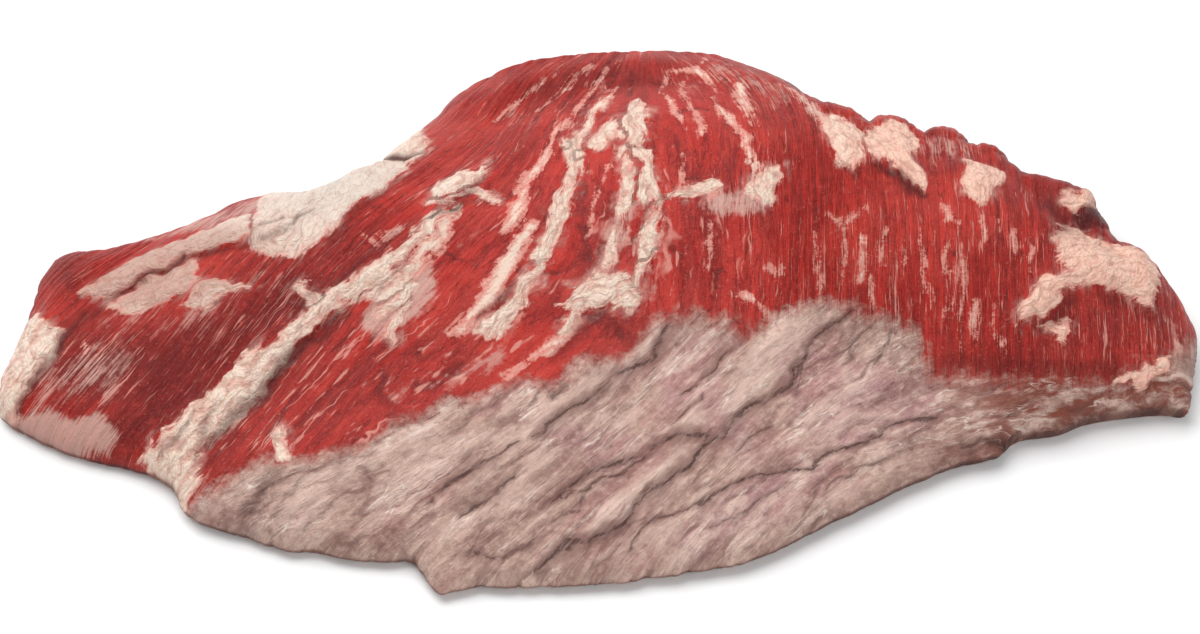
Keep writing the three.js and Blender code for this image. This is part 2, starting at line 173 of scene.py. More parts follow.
# Upright lines of thin fat in the right muscle: x, lowest and highest y, and half width.
UPRIGHTS = [
    (65, -6, 10, 0.6), (73, -4, 14, 0.4), (85, 0, 9, 0.6), (90, -2, 5, 0.6), (96, -10, 8, 0.7),
    (98, -15, -8, 1.1), (103, -8, 1, 0.7), (103, -18, -12, 0.6), (107, -26, 1, 0.9),
    (111, -23, -13, 1.8), (114, 3, 11, 0.5), (117, -23, -15, 1.2), (119, 4, 10, 0.6),
    (119, -27, -22, 0.8), (124, -2, 6, 0.8), (128, -4, 4, 0.7), (81, -12, -4, 0.5),
]
# Silverskin over the near side: its upper boundary, then round outside the flap.
SILVERSKIN = [
    (-124, -72), (-118, -69), (-112, -67), (-108, -64), (-102, -63), (-96, -60), (-90, -60),
    (-84, -61), (-78, -60), (-72, -59), (-66, -54), (-61, -49), (-55, -48), (-50, -46), (-45, -43),
    (-40, -41), (-36, -38), (-30, -36), (-22, -34), (-16, -37), (-11, -34), (-8, -29), (-3, -26),
    (4, -25), (9, -22), (13, -18), (17, -13), (21, -11), (30, -12), (38, -12), (43, -17),
    (48, -15), (51, -11), (57, -11), (63, -8), (70, -9), (76, -11), (82, -14), (90, -17),
    (95, -20), (97, -26), (99, -32), (110, -33), (150, -33), (160, -31), (166, -28), (171, -23),
    (176, -16), (190, -16), (190, -60), (0, -130), (-130, -110)]
# Soft pale films over red meat: strength, softness, half widths and points.
VEILS = {
    "striped veil at the left": (0.45, 6, (7, 9), [(-163, -33), (-148, -30)]),
    "near left film": (1, 3.5, (4, 5.5, 4), [(-174, -43), (-160, -48), (-147, -49)]),
    "far left film": (0.6, 3, (2, 5, 6), [(-138, 21), (-121, 23), (-106, 26)]),
    "below the left pads": (0.35, 5, (3, 5), [(-146, -14), (-118, -17)]),
    "beside the fringe": (0.3, 4, (3, 4), [(-106, -6), (-92, -9)]),
    "pale spot": (0.45, 4, (3.5, 3), [(-27, 64), (-24, 56)]),
    "under the crown's right": (0.4, 9, (9, 8), [(36, 80), (55, 70)]),
    "whitish patch by the seam": (1, 4, (5, 6, 3), [(-54, -8), (-60, -15), (-66, -21)]),
    "grey strands": (0.6, 3, (3, 4, 2), [(8, 20), (5, 10), (0, 2)]),
    "grey tuft": (0.75, 3, (3, 4.5), [(35, 20), (44, 20)]),
    "right of the front tuft": (0.35, 5, (4, 4), [(14, 0), (16, -8)]),
    "left of the apron": (0.35, 5, (3, 4), [(-60, -44), (-30, -28)]),
    "drape roots": (0.5, 4, (5, 4), [(86, 46), (112, 38)]),
    "right corner": (0.3, 5, (4, 5), [(168, -10), (174, -26)]),
}
# Where thin lines of fat run thick along the fibres: strength, softness, half widths, points.
STREAKY = {
    "right muscle": (0.6, 10, (14, 18, 14), [(70, 2), (100, 0), (128, 0)]),
    "left of the apron": (1.2, 8, (12, 14, 10), [(-98, -46), (-60, -30), (-26, -20)]),
    "striped veil": (1.2, 8, (9, 9), [(-165, -32), (-146, -30)]),
    "below the fringe": (1, 8, (6, 6), [(-112, -24), (-90, -14)]),
    "right lobe": (0.8, 8, (8, 8), [(140, -20), (160, -18)]),
    "middle": (0.6, 8, (8, 10), [(0, 20), (30, 4)]),
}
# Shadowed crevices and dark meat: strength, softness, half widths and points.
SHADOWS = {
    "above the seam": (0.55, 3, (0.5, 1.5, 1.5, 0.5), [(-56, 12), (-66, 1), (-78, -9), (-90, -17)]),
    "below the seam": (0.75, 2, (0.6, 1.8, 2, 1.2), [(-74, -19), (-90, -31), (-102, -43), (-115, -54)]),
    "gap low in the seam": (0.6, 1.2, (0.4, 0.8, 0.5), [(-119, -45), (-124, -51), (-129, -57)]),
    "second gap low in the seam": (0.6, 1.2, (0.4, 0.8, 0.5), [(-113, -43), (-117, -52), (-119, -60)]),
    "beside the left strip": (0.75, 1.6, (0.8, 1.2, 0.5), [(-155, -10), (-161, -19), (-173, -39)]),
    "left of the pads": (0.5, 3, (1, 2), [(-150, -9), (-158, -14)]),
    "under the leaf": (0.6, 1.8, (0.6, 1.2, 0.5), [(-48, 19), (-40, 22), (-35, 30)]),
    "under the strips": (0.65, 1.4, (0.5, 1, 0.5), [(-50, 12), (-45, 17), (-40, 19)]),
    "left pad crease": (0.65, 1.2, (0.4, 0.9, 0.6, 1.2), [(-148, -7), (-141, -2), (-134, 3), (-126, 6)]),
    "left pad crease's end": (0.55, 1.6, (0.8, 1.4, 0.5), [(-125, 5), (-118, 5), (-104, 6)]),
    "line on the fringe": (0.75, 0.8, (0.2, 0.6, 0.2), [(-94, 9), (-91, 11), (-86, 14)]),
    "fringe spots": (0.55, 1.2, (0.5, 0.7, 0.4), [(-102, 11), (-98, 11), (-95, 12)]),
    "fringe's lower spot": (0.5, 1.2, (0.5, 0.8, 0.4), [(-100, 6), (-97, 6), (-94, 8)]),
    "notch by the fringe's tip": (0.95, 1.2, (0.3, 1.6, 2.6), [(-55, 46), (-60, 44), (-66, 44)]),
    "beside the fringe": (0.45, 2.5, (0.5, 1.2, 0.5), [(-80, 3), (-73, 14), (-60, 30)]),
    "under the far lip": (0.3, 6, (3, 5, 5, 2), [(-20, 76), (-6, 82), (8, 82), (18, 76)]),
    "gap in the streak tuft": (0.6, 1.4, (0.6, 1.2, 0.5), [(-26, -6), (-30, -11), (-35, -17)]),
    "under the front tuft": (0.45, 2, (1, 1.5, 1), [(2, -12), (-6, -18), (-14, -27)]),
    "under the first drape": (0.4, 1.6, (0.5, 1, 0.5), [(71, 34), (78, 29), (82, 34)]),
    "under the second drape": (0.8, 1.6, (0.5, 1.5, 1.5, 0.6), [(83, 34), (90, 27), (93, 21), (97, 18)]),
    "behind the right strip": (0.5, 3, (2, 3, 1.5), [(135, 20), (140, 15), (137, 8)]),
    "seventh lump": (0.6, 2.5, (2, 4), [(145, 17), (152, 25)]),
    "under the right strip": (0.5, 2, (0.8, 1.4, 1), [(130, -21), (135, -18), (142, -12)]),
    "under the right knot": (0.35, 3, (1.5, 2), [(150, -10), (163, -12)]),
    "first lump": (0.75, 3, (3, 3.5, 2), [(66, 76), (74, 68), (80, 62)]),
    "second lump": (0.7, 3, (2, 3, 2), [(86, 66), (92, 64), (99, 58)]),
    "third lump": (0.5, 2, (1, 1.5, 1), [(103, 59), (108, 60), (113, 55)]),
    "fourth lump": (0.6, 3, (2, 2), [(117, 50), (123, 47)]),
    "fifth lump": (0.6, 3, (2, 2, 2), [(130, 41), (138, 38), (146, 37)]),
    "between the lumps": (0.7, 1.4, (1, 0.6), [(83, 62), (83, 54)]),
    "second gap between the lumps": (0.6, 1.4, (1, 0.6), [(101, 57), (102, 48)]),
    "third gap between the lumps": (0.6, 1.4, (1, 0.6), [(115, 53), (113, 45)]),
    "fourth gap between the lumps": (0.6, 1.4, (1, 0.6), [(132, 38), (129, 32)]),
    "above the side face": (0.35, 3, (1, 2, 1.5), [(102, -30), (130, -31), (152, -30)]),
    "cut at the near edge": (0.8, 1.6, (0.8, 1.4), [(108, -53), (121, -50)]),
    "red blot on the apron": (0.5, 2, (1, 2, 1.6), [(-93, -65), (-98, -69), (-102, -76)]),
    "near edge of the apron": (0.35, 2.5, (1, 1), [(-122, -74), (-100, -82)]),
    "hole by the silverskin": (0.7, 1.5, (1.2, 1), [(-14, -39), (-11, -36)]),
    "spot on the apron": (0.6, 1.2, (0.8, 0.6), [(58, -38), (58, -35)]),
    "second spot on the apron": (0.6, 1.4, (0.9, 0.5), [(75, -27), (74, -22)]),
    "nose crease": (0.55, 1.6, (1, 0.6), [(-41, -77), (-34, -73)]),
}
# Darker red meat and painted shade, with no hollow: strength, softness, half widths and points.
DARK_MEAT_AND_SHADE = {
    "crown": (0.45, 9, (5, 8, 5), [(-30, 70), (0, 80), (30, 74)]),
    "far lip": (0.25, 6, (4, 4), [(-40, 76), (30, 90)]),
    "left lobe": (1, 12, (8, 14, 8), [(-160, -28), (-128, -32), (-92, -14)]),
    "foot of the left lobe": (1.1, 8, (6, 8), [(-140, -48), (-120, -38)]),
    "left knob": (0.9, 7, (5, 7), [(-160, 2), (-163, 12)]),
    "below the fringe": (0.5, 8, (4, 6), [(-100, -8), (-70, 4)]),
    "below the seam": (0.4, 8, (4, 8), [(-80, -30), (-108, -56)]),
    "left of the apron": (0.3, 10, (6, 8), [(-80, -50), (-40, -34)]),
    "right corner": (0.6, 10, (8, 8), [(132, 26), (150, 18)]),
    "right lobe": (0.55, 9, (7, 8), [(142, -20), (168, -14)]),
    "above the side": (0.6, 7, (3, 4), [(102, -28), (150, -30)]),
    "between the drapes": (0.35, 5, (3, 4), [(103, 46), (104, 28)]),
    "first lump": (1.2, 4, (3, 5, 4), [(62, 80), (72, 70), (80, 64)]),
    "second lump": (1.2, 3, (3, 4, 3), [(85, 65), (91, 64), (98, 59)]),
    "fourth lump": (1, 4, (3, 5), [(116, 50), (124, 45)]),
    "fifth lump": (1, 4, (4, 4, 4), [(129, 40), (138, 36), (147, 34)]),
    "seventh lump": (1.2, 4, (3, 5), [(145, 17), (152, 22)]),
}
# Creases between the apron's folds, with painted brown shade: depth in mm, half widths and points.
CREASES = {
    "first": (0.9, (0.8, 1.4, 2.2, 1.2), [(20, -15), (15, -25), (3, -35), (-19, -52)]),
    "second": (0.7, (0.8, 1, 0.6), [(45, -17), (37, -25), (29, -33), (24, -37)]),
    "main": (1.2, (0.5, 1, 0.8, 1.4, 1, 1.2, 1),
             [(73, -12), (63, -22), (57, -32), (38, -49), (28, -58), (8, -80), (-18, -93)]),
    "loop": (0.6, (0.5, 0.9, 0.5), [(30, -39), (26, -44), (21, -49)]),
    "brown band": (0.9, (1, 2, 1.2, 2, 1), [(33, -52), (22, -53), (12, -58), (0, -63), (-14, -73)]),
    "lower brown band": (0.6, (0.6, 1.2, 0.8), [(12, -60), (0, -68), (-10, -73)]),
    "pink line": (0.7, (0.6, 0.9, 0.9, 0.5), [(63, -61), (50, -64), (38, -68), (28, -74)]),
    "right": (0.8, (0.6, 1.2, 1.4, 0.8), [(97, -45), (85, -48), (75, -53), (62, -60)]),
    "hook": (0.5, (0.4, 0.7, 0.4), [(40, -57), (44, -54), (50, -49)]),
    "upper hook": (0.6, (0.5, 0.8, 0.4), [(65, -20), (61, -25), (60, -31)]),
    "twig": (0.5, (0.4, 0.6, 0.4), [(80, -18), (76, -22), (70, -26)]),
    "second twig": (0.5, (0.4, 0.6, 0.4), [(85, -19), (82, -24), (80, -29)]),
    "third twig": (0.4, (0.4, 0.6, 0.4), [(95, -26), (92, -29), (88, -31)]),
    "low loop": (0.5, (0.5, 0.8, 0.5), [(-4, -72), (-5, -77), (-14, -80)]),
    "left low": (0.6, (0.6, 1.2, 0.6), [(-24, -64), (-32, -72), (-41, -78)]),
    "left middle": (0.6, (0.6, 1.4, 0.8), [(-24, -55), (-36, -64), (-50, -73)]),
    "left upper": (0.4, (0.5, 1, 0.5), [(-48, -47), (-58, -50), (-66, -57)]),
    "far left": (0.4, (0.5, 1, 0.5), [(-60, -66), (-74, -72), (-86, -80)]),
    "second far left": (0.4, (0.5, 1, 0.5), [(-66, -60), (-84, -66), (-96, -76)]),
    "nose": (0.5, (0.5, 0.8, 0.5), [(-20, -86), (-30, -90), (-42, -90)]),
    "edge": (0.6, (0.5, 0.8, 0.5), [(32, -71), (18, -78), (8, -88)]),
    "under the hook": (0.5, (0.5, 0.8, 0.5), [(56, -68), (44, -74), (30, -82)]),
    "side": (0.5, (0.4, 0.8, 0.5), [(92, -54), (78, -60), (66, -68)]),
}
# Raised pale folds of the apron: half widths and points.
PALE_FOLDS = {
    "first": ((2, 3, 3, 2), [(18, -16), (8, -28), (-5, -36), (-18, -48)]),
    "whitish": ((3, 5, 4, 2), [(60, -13), (50, -26), (42, -37), (38, -47)]),
    "loop": ((1.5, 3, 1.5), [(28, -41), (28, -47), (22, -51)]),
    "yellow": ((2, 3.5, 4, 2), [(27, -58), (16, -67), (8, -75), (-2, -84)]),
    "bright end": ((1.5, 2), [(-19, -50), (-27, -54)]),
    "branch": ((0.5, 0.9, 0.4), [(67, -40), (63, -46), (60, -50)]),
    "blob": ((2, 2.6), [(73, -31), (75, -37)]),
    "left": ((2, 4, 3), [(-62, -60), (-76, -66), (-92, -74)]),
    "left tip": ((1, 3, 3), [(-92, -57), (-100, -63), (-112, -69)]),
    "middle": ((2, 4, 3), [(-32, -52), (-48, -60), (-62, -70)]),
    "low": ((2, 3, 2), [(-16, -60), (-28, -74), (-44, -82)]),
    "edge": ((1, 2, 1), [(28, -76), (16, -84), (0, -91)]),
    "right": ((1, 2, 1), [(84, -44), (74, -46), (62, -52)]),
}

# Lavender and pink parts of the apron: strength, softness, half widths and points.
ROSY_FILM = {
    "nose": (0.9, 7, (3, 6, 4), [(-14, -50), (0, -56), (14, -58)]),
    "centre": (0.9, 8, (5, 8, 6), [(30, -24), (26, -36), (44, -54)]),
    "right": (1, 10, (8, 14, 10), [(62, -28), (72, -42), (92, -42)]),
    "bottom right": (0.9, 9, (5, 8, 5), [(26, -84), (48, -72), (66, -62)]),
    "far left": (0.4, 8, (3, 5), [(-84, -80), (-112, -74)]),
}
# Lumps of meat along the far right edge: radius and height, then the middle.
EDGE_LUMPS = {
    "first": (7, 1.2, (76, 62)),
    "second": (7.5, 1.5, (91, 58)),
    "third": (7, 1.8, (107, 53)),
    "fourth": (5, 1.2, (121, 45)),
    "fifth": (6, 1, (134, 32)),
    "sixth": (5.5, 1, (142, 34)),
    "pale": (4.5, 1.6, (148, 33)),
    "seventh": (5.5, 1.4, (150, 23)),
    "eighth": (5.5, 1, (161, 11)),
}

# ---- Meat fibres fan out from the crown, lean left on the left and run straight on the right ----
FIBRE_LEAN = 0.85
FIBRE_TURN = 60              # the width over which they turn from leaning to straight
FIBRE_TURN_X = 25
FIBRE_TURN_SLANT = 0.5
FAN_X = 14
FAN_Y = 110
FAN_NEAREST = 20             # keeps the fan from closing up at its middle
FAN_WIDTH = 38
FAN_START_Y = (35, 65)
FIBRE_END_Y = 100
# ---- Folds of the apron: rise for each millimetre to the right, at these x ----
FOLD_X = (-110, -80, -40, 0, 40, 70, 100, 140)
FOLD_SLOPE = (0.35, 0.45, 0.75, 1.0, 1.0, 0.75, 0.4, 0.15)
FOLD_START_X = -150
TRACE_STEPS = 24

FIELD_REACH = 9              # fields stop falling this far outside a feature
NOISE_CELLS = 256            # a noise repeats after this many bumps
SLOPE_STEP = 0.05            # over which a noise's slope is read
LEAST_SLOPE = 0.25           # where a noise is flatter than this, it makes no groove
EVENING_PASSES = 3           # rounds of evening out the solid's coarse pads and folds
WANDER = ((1.5, 8), (0.7, 3))  # edges wander: how far, and over bumps of what size
UPRIGHT_TIP = 0.3            # half width of the upright lines at both ends
CREASE_FADE = (1.4, 0.9)     # a crease fades over this, on the left and right of its line,
CREASE_SHARE = 0.9           # and over this share of its half width

# ---- Soft ovals, by middle and half sizes, and stretches, by where they start and end ----
DULL_PADS = ((-130, 3), (32, 16))
CALM_LEFT_END = ((-170, -26), (12, 22))
WHITE_FRINGE = ((-82, 28), (30, 26))
BLUSH_X = (55, 90)
SIDE_FACE_X = (85, 130)
SIDE_FACE_Y = (-20, -34)
CALMING = 0.6                # calm fat has edges less ragged by this share

# ---- Long rounded bundles: width and length in mm ----
MEAT_BUNDLES = (3.2, 38)
FAT_LOBES = (2.8, 5.5)
FILM_FOLDS = (9, 34)
FILM_WRINKLES = (3.4, 15)
WRINKLE_SHARE = 0.35         # how much of the film's swell its wrinkles make

# ---- Relief in mm ----
MEAT_SWELL = 0.7
FILM_SWELL = 1.6
FAT_SWELL = 0.55
BROAD_SWELL = 0.3
FINE_BUMPS = 0.15
FAT_RISE = 0.3
MARBLING_RISE = 0.2
PALE_RISE = 0.6
MOAT = 0.15                  # depth of the line where meat meets fat
SHADOW_DEPTH = 0.9
FOLD_LIFT = 1.0              # the film beside a crease stands up by this share of its depth
FOLD_LIFT_ASIDE = -2.2       # it is highest there: right of a crease's line counts down


def mix(low, high, part):
    return low + (high - low) * part


def ease(value, low, high):
    part = np.clip((value - low) / (high - low), 0, 1)
    return part * part * (3 - 2 * part)


def bell(value):
    return np.exp(-value * value)


def noise(u, v, seed):
    """Smooth noise from about -1 to 1, with one bump to a unit."""
    angles = np.random.default_rng(seed).uniform(0, 2 * np.pi, (NOISE_CELLS, NOISE_CELLS))
    i, j = np.floor(u).astype(int), np.floor(v).astype(int)
    du, dv = u - i, v - j

    def slope(right, up):
        angle = angles[(i + right) % NOISE_CELLS, (j + up) % NOISE_CELLS]
        return np.cos(angle) * (du - right) + np.sin(angle) * (dv - up)

    across, along = ease(du, 0, 1), ease(dv, 0, 1)
    near = mix(slope(0, 0), slope(1, 0), across)
    far = mix(slope(0, 1), slope(1, 1), across)
    return 1.5 * mix(near, far, along)


def round_noise(x, y, size, seed):
    """Noise with bumps of this size, in mm."""
    return noise(x / size, y / size, seed)


# ---- The mesh ----
def grid_fractions(cells, crowding):
    part = np.linspace(0, 1, cells + 1)
    return mix(part, (1 - np.cos(np.pi * part)) / 2, crowding)


def cad_places(cells, cad_cells):
    """Where the fine grid's lines fall on the solid's grid, in its cells."""
    solid = grid_fractions(cad_cells, CAD_CROWDING)
    return np.interp(grid_fractions(cells, CROWDING), solid, np.arange(cad_cells + 1))


def rim_loop(solid):
    """The solid's widest line: the loop of edges between faces that look up and down."""
    neighbours = {}
    for edge in solid.edges:
        up = [face.normal.z > 0 for face in edge.link_faces]
        if len(up) == 2 and up[0] != up[1]:
            first, second = edge.verts
            neighbours.setdefault(first, []).append(second)
            neighbours.setdefault(second, []).append(first)
    corner = min(neighbours, key=lambda v: math.dist(v.co.xy * MM, LEFT_CORNER))
    loop = [corner, max(neighbours[corner], key=lambda v: v.co.x)]
    while len(loop) < len(neighbours):
        loop.append(next(v for v in neighbours[loop[-1]] if v is not loop[-2]))
    return np.array([v.co for v in loop]) * MM


def cad_grid(node):
    """The solid's top as the grid it was stretched on: columns x rows x 3, in mm."""
    solid = bmesh.new()
    solid.from_mesh(node.data)
    bmesh.ops.remove_doubles(solid, verts=solid.verts, dist=WELD)
    solid.normal_update()
    loop = rim_loop(solid)
    turns = np.cumsum([0, CAD_COLUMNS, CAD_ROWS, CAD_COLUMNS, CAD_ROWS])
    ring = np.concatenate([loop, loop[:1]])
    near, right, far, left = (ring[a:b + 1] for a, b in zip(turns[:-1], turns[1:]))
    far, left = far[::-1], left[::-1]
    u = grid_fractions(CAD_COLUMNS, CAD_CROWDING)[:, None, None]
    v = grid_fractions(CAD_ROWS, CAD_CROWDING)[None, :, None]
    sides = mix(near[:, None], far[:, None], v) + mix(left[None], right[None], u)
    grid = sides - mix(mix(near[0], near[-1], u), mix(far[0], far[-1], u), v)
    finder = kdtree.KDTree(len(solid.verts))
    for number, vertex in enumerate(solid.verts):
        finder.insert((vertex.co.x * MM, vertex.co.y * MM, 0), number)
    finder.balance()
    solid.verts.ensure_lookup_table()
    for place in np.ndindex(grid.shape[:2]):
        spot = (*grid[place][:2], 0)
        heights = [solid.verts[k].co.z for _, k, _ in finder.find_range(spot, NEAR_VERTEX)]
        grid[place][2] = max(heights) * MM
    solid.free()
    return grid


def smooth_read(rows, at):
    """Rows of points read off between them, along a smooth curve through the rows."""
    ends = [2 * rows[:1] - rows[1:2], rows, 2 * rows[-1:] - rows[-2:-1]]
    rows = np.concatenate(ends)
    i = np.clip(np.floor(at).astype(int), 0, len(rows) - 4)
    t = (at - i).reshape(-1, *[1] * (rows.ndim - 1))
    a, b, c, d = (rows[i + k] for k in range(4))
    return 0.5 * (2 * b + (c - a) * t + (2 * a - 5 * b + 4 * c - d) * t ** 2
                  + (3 * b - a - 3 * c + d) * t ** 3)


def read_grid(grid, columns, rows):
    across = smooth_read(grid, np.asarray(columns, float))
    return smooth_read(across.swapaxes(0, 1), np.asarray(rows, float)).swapaxes(0, 1)


def around(near, right, far, left):
    """Four sides of a grid as one closed loop that starts at the left corner."""
    return np.concatenate([near[:-1], right[:-1], far[:0:-1], left[:0:-1]])


def inset_loop(grid, inset, columns, rows):
    """The grid's points on the rectangle that lies inset cells inside its rim."""
    i = inset + columns * (1 - 2 * inset / CAD_COLUMNS)
    j = inset + rows * (1 - 2 * inset / CAD_ROWS)
    level = read_grid(grid, i, [inset, CAD_ROWS - inset])
    upright = read_grid(grid, [inset, CAD_COLUMNS - inset], j)
    return around(level[:, 0], upright[1], level[:, 1], upright[0])


def even_out(grid):
    """Points of a grid shared with their neighbours, so that coarse steps go. The rim is kept."""
    for _ in range(EVENING_PASSES):
        beside = grid[:-2, 1:-1] + grid[2:, 1:-1] + grid[1:-1, :-2] + grid[1:-1, 2:]
        grid[1:-1, 1:-1] = (grid[1:-1, 1:-1] + beside / 4) / 2


def flap_form(node):
    """Vertices, how far under the rim each lies (0 to 1), its place on the rim or top, and faces."""
    grid = cad_grid(node)
    even_out(grid)
    columns, rows = cad_places(COLUMNS, CAD_COLUMNS), cad_places(ROWS, CAD_ROWS)
    top = read_grid(grid, columns, rows)
    numbers = np.arange(top.shape[0] * top.shape[1]).reshape(top.shape[:2])
    cells = [numbers[:-1, :-1], numbers[1:, :-1], numbers[1:, 1:], numbers[:-1, 1:]]
    faces = np.stack([corner.ravel() for corner in cells], 1).tolist()
    loop = around(numbers[:, 0], numbers[-1], numbers[:, -1], numbers[0])
    points = [top.reshape(-1, 3)]
    rim = points[0][loop]
    sources = [points[0][:, :2]]
    under = [np.zeros(len(points[0]))]
    upper = loop
    for ring in range(1, ROLL_RINGS + 1):
        part = ring / ROLL_RINGS
        lower = inset_loop(grid, CAD_ROLL * part, columns, rows)
        lower[:, 2] = rim[:, 2] * (1 - math.sqrt(1 - (1 - part) ** 2))
        first = sum(len(block) for block in points)
        below = np.arange(first, first + len(lower))
        sides = [upper, below, np.roll(below, -1), np.roll(upper, -1)]
        faces += np.stack(sides, 1).tolist()
        points.append(lower)
        sources.append(rim[:, :2])
        under.append(np.full(len(lower), part))
        upper = below
    faces.append(upper[::-1].tolist())
    return np.concatenate(points), np.concatenate(under), np.concatenate(sources), faces


# ---- Fields over the flap ----
def nearby(points, x, y, margin=0.0):
    """Numbers of the places within the fields' reach, and the margin, of a feature's points."""
    reach = FIELD_REACH + margin
    low, high = np.min(points, 0) - reach, np.max(points, 0) + reach
    return np.flatnonzero((x > low[0]) & (x < high[0]) & (y > low[1]) & (y < high[1]))


def closest(points, x, y):
    """Distance to a line, how far along it (0 to 1) the closest place is, and on which side."""
    distance, along, side = np.full(x.shape, np.inf), np.zeros(x.shape), np.ones(x.shape)
    for k, ((ax, ay), (bx, by)) in enumerate(zip(points[:-1], points[1:])):
        dx, dy = bx - ax, by - ay
        t = np.clip(((x - ax) * dx + (y - ay) * dy) / (dx * dx + dy * dy), 0, 1)
        here = np.hypot(x - ax - t * dx, y - ay - t * dy)
        nearer = here < distance
        distance = np.where(nearer, here, distance)
        along = np.where(nearer, (k + t) / (len(points) - 1), along)
        side = np.where(nearer, np.sign((y - ay) * dx - (x - ax) * dy), side)
    return distance, along, side


def width_at(along, half_widths):
    return np.interp(along, np.linspace(0, 1, len(half_widths)), half_widths)


def stroke_depth(half_widths, points, x, y):
    """How deep inside a stroke each place lies, in mm: negative outside it."""
    distance, along, _ = closest(points, x, y)
    return width_at(along, half_widths) - distance


def area_depth(points, x, y):
    """How deep inside a closed area each place lies, in mm: negative outside it."""
    ring = [*points, points[0]]
    inside = np.zeros(x.shape, bool)
    for (ax, ay), (bx, by) in zip(ring[:-1], ring[1:]):
        crosses = (ay > y) != (by > y)
        inside ^= crosses & (x < ax + (y - ay) * (bx - ax) / (by - ay + (by == ay)))
    return np.where(inside, 1, -1) * closest(ring, x, y)[0]


def deepest(strokes, x, y):
    """The greatest depth inside any of the strokes."""
    field = np.full(x.shape, -float(FIELD_REACH))
    for half_widths, points in strokes:
        near = nearby(points, x, y, max(half_widths))
        field[near] = np.maximum(field[near], stroke_depth(half_widths, points, x[near], y[near]))
    return field


def long_axis(points):
    """The direction in which a feature's points spread the most."""
    spread = np.array(points, float)
    return np.linalg.svd(spread - spread.mean(0))[2][0]


def fat_fields(x, y):
    """Depth inside the fat, and places across and along its strands, in mm."""
    depth = np.full(x.shape, -float(FIELD_REACH))
    across, along = y.copy(), x.copy()
    patches = [(area_depth, (points,)) for points in FAT_AREAS.values()]
    patches += [(stroke_depth, stroke) for stroke in FAT_STROKES.values()]
    for depth_of, shape in patches:
        near = nearby(shape[-1], x, y)
        here = depth_of(*shape, x[near], y[near])
        near, here = near[here > depth[near]], here[here > depth[near]]
        axis_x, axis_y = long_axis(shape[-1])
        depth[near] = here
        across[near] = y[near] * axis_x - x[near] * axis_y
        along[near] = x[near] * axis_x + y[near] * axis_y
    return depth, across, along


def soft_cover(features, x, y):
    """How strongly soft-edged strokes cover each place: 0 outside them, and in them their strength."""
    cover = np.zeros(x.shape)
    for strength, softness, half_widths, points in features:
        near = nearby(points, x, y, max(half_widths) + softness)
        depth = stroke_depth(half_widths, points, x[near], y[near])
        cover[near] = np.maximum(cover[near], strength * ease(depth, -softness, softness))
    return cover


def crease_fields(x, y):
    """Depth of the closest named crease in mm, and how far left of it each place lies."""
    depth, aside = np.zeros(x.shape), np.full(x.shape, float(FIELD_REACH))
    for deep, half_widths, points in CREASES.values():
        near = nearby(points, x, y, max(half_widths))
        distance, along, side = closest(points, x[near], y[near])
        closer = distance < np.abs(aside[near])
        near, distance, side = near[closer], distance[closer], side[closer]
        aside[near] = side * distance
        reach = np.where(side > 0, *CREASE_FADE)
        reach += CREASE_SHARE * width_at(along[closer], half_widths)
        depth[near] = deep * bell(distance / reach)
    return depth, aside


def oval(x, y, middle, sizes):
    """1 in an oval's middle, falling softly to nothing outside it."""
    return bell(np.hypot((x - middle[0]) / sizes[0], (y - middle[1]) / sizes[1]))


def wander(value, x, y, seeds):
    """A coordinate pushed about by noises, so that no drawn edge stays smooth."""
    for (reach, size), seed in zip(WANDER, seeds):
        value = value + reach * round_noise(x, y, size, seed)
    return value


def upright_stroke(x, low, high, half_width):
    widths = (UPRIGHT_TIP, half_width, UPRIGHT_TIP)
    return widths, [(x, low), (x, (low + high) / 2), (x, high)]


def lump_height(x, y):
    """How far the round lumps of the far right edge stand out, in mm."""
    height = np.zeros(x.shape)
    for radius, rise, (lump_x, lump_y) in EDGE_LUMPS.values():
        away = np.hypot(x - lump_x, y - lump_y) / radius
        height = np.maximum(height, rise * np.sqrt(np.clip(1 - away * away, 0, 1)))
    return height


def fibre_lean(x, y):
    turn = (FIBRE_TURN_X - FIBRE_TURN_SLANT * y - x) / FIBRE_TURN
    fanned = (FAN_X - x) / np.maximum(FAN_Y - y, FAN_NEAREST)
    fan = ease(y, *FAN_START_Y) * bell((x - FAN_X) / FAN_WIDTH)
    return mix(FIBRE_LEAN * ease(turn, 0, 1), fanned, fan)


def fibre_place(x, y):
    """Across and along the fibres, in mm: the x at which a fibre would end, and y."""
    step = (FIBRE_END_Y - y) / TRACE_STEPS
    end = x.copy()
    for k in range(TRACE_STEPS):
        end += step * fibre_lean(end, y + k * step)
    return end, y


def fold_place(x, y):
    """Across and along the apron's folds, in mm: the y at which a fold would start, and x."""
    step = (FOLD_START_X - x) / TRACE_STEPS
    start = y.copy()
    for k in range(TRACE_STEPS):
        start += step * np.interp(x + k * step, FOLD_X, FOLD_SLOPE)
    return start, x


def pillows(u, v, width, length, seed):
    """Long rounded bundles: their swell, 0 to 1, and about how far away the next groove is."""
    u, v = u / width, v / length
    value = noise(u, v, seed)
    slope_u = (noise(u + SLOPE_STEP, v, seed) - value) / (SLOPE_STEP * width)
    slope_v = (noise(u, v + SLOPE_STEP, seed) - value) / (SLOPE_STEP * length)
    away = value / np.maximum(np.hypot(slope_u, slope_v), LEAST_SLOPE / width)
    return np.sqrt(np.abs(value)), np.clip(away, -FIELD_REACH, FIELD_REACH)


